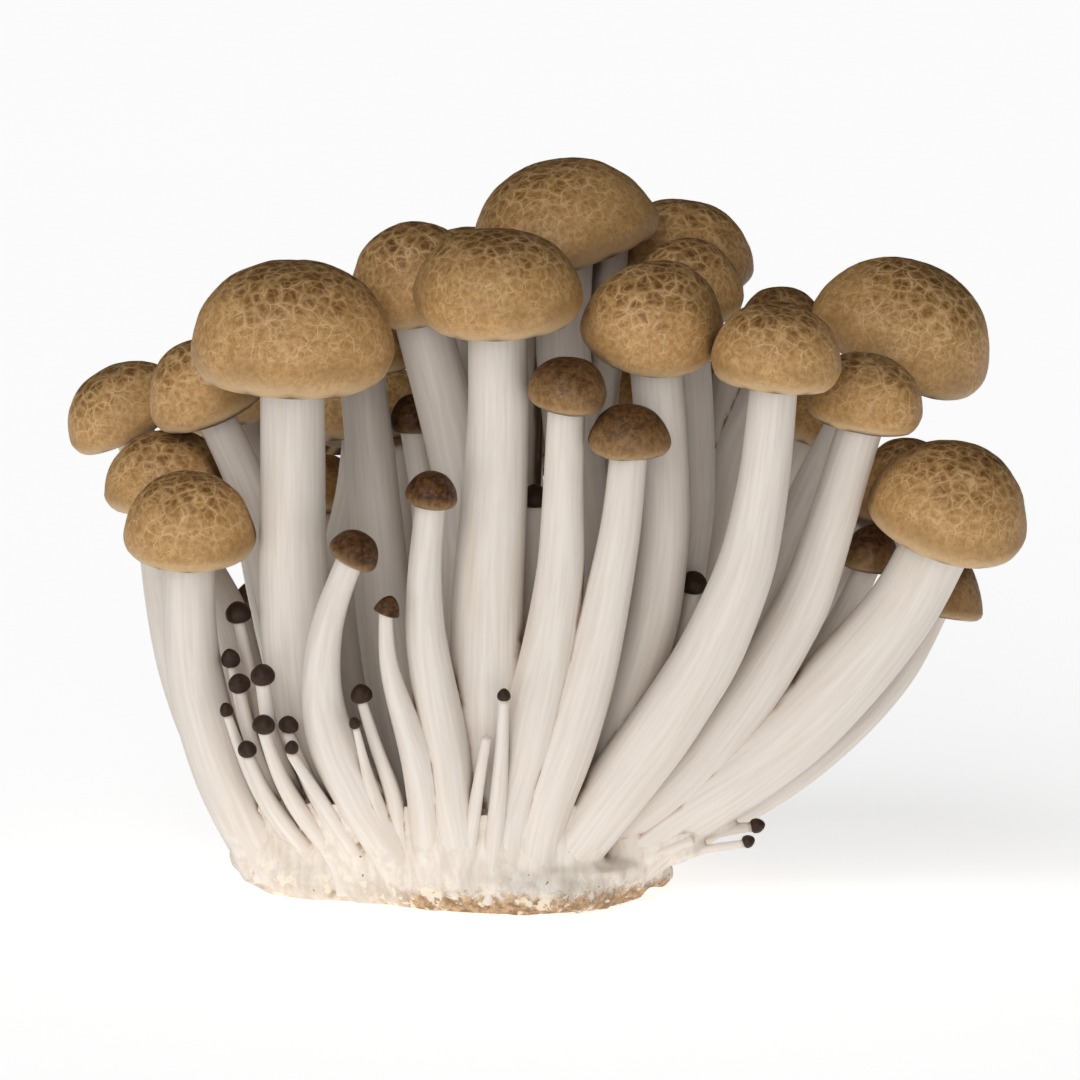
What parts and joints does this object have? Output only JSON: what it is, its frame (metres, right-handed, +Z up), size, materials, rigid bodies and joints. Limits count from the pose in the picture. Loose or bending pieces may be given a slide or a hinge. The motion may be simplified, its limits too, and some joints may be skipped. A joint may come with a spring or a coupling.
{
  "type": "beech mushroom cluster",
  "caption": "Clump of slender pale stems with rounded tan caps and gills, grown from one cut base that it stands on upright; food prop.",
  "frame": {"origin": "centre of the flat cut face under the base", "axes": "+Z up, along the way the stems grow; +X to the right and +Y away from the viewer, seen from the side with the most caps"},
  "size_m": [0.1242, 0.0843, 0.096],
  "materials": {
    "cap_skin": "dry satin skin, tan with a net of paler lines between darker patches, cream at the rim",
    "young_cap_skin": "dry satin skin, dark brown",
    "stem_flesh": "smooth moist flesh, off-white with fine lengthwise fibres, browned where it was cut"
  },
  "bodies": {
    "root": {"base_and_stems": "stem_flesh", "button_between_middle": "young_cap_skin", "button_between_right": "young_cap_skin", "button_front_left": "young_cap_skin", "button_front_left_tiny": "young_cap_skin", "button_front_middle": "young_cap_skin", "button_gap_high": "young_cap_skin", "button_gap_left": "young_cap_skin", "button_gap_low_left": "young_cap_skin", "button_gap_low_middle": "young_cap_skin", "button_gap_low_right": "young_cap_skin", "button_gap_middle": "young_cap_skin", "button_gap_right": "young_cap_skin", "button_low_left": "young_cap_skin", "button_low_middle": "young_cap_skin", "button_right_edge": "young_cap_skin", "button_right_edge_low": "young_cap_skin", "cap_back_centre_low": "cap_skin", "cap_back_left_broad": "cap_skin", "cap_back_left_high": "cap_skin", "cap_back_left_low": "cap_skin", "cap_back_left_young": "cap_skin", "cap_back_middle": "cap_skin", "cap_back_middle_low": "cap_skin", "cap_back_middle_young": "cap_skin", "cap_back_right_broad": "cap_skin", "cap_back_right_high": "cap_skin", "cap_back_right_low": "cap_skin", "cap_back_right_young": "cap_skin", "cap_centre_left_small": "cap_skin", "cap_centre_right_small": "cap_skin", "cap_centre_shaded": "cap_skin", "cap_centre_small": "cap_skin", "cap_front_left_slim": "cap_skin", "cap_front_left_small": "cap_skin", "cap_left_broad": "cap_skin", "cap_left_high": "cap_skin", "cap_left_inner": "cap_skin", "cap_left_low": "cap_skin", "cap_left_middle": "cap_skin", "cap_left_shaded": "cap_skin", "cap_middle_back": "cap_skin", "cap_middle_broad": "cap_skin", "cap_middle_left": "cap_skin", "cap_right_back": "cap_skin", "cap_right_broad": "cap_skin", "cap_right_high": "cap_skin", "cap_right_leaning": "cap_skin", "cap_right_low": "cap_skin", "cap_right_low_inner": "cap_skin", "cap_right_low_shaded": "cap_skin", "cap_right_middle": "cap_skin", "cap_right_outer": "cap_skin", "cap_right_round": "cap_skin", "cap_right_shaded": "cap_skin", "cap_top": "cap_skin", "cap_top_shaded": "cap_skin"}
  },
  "joints": []
}
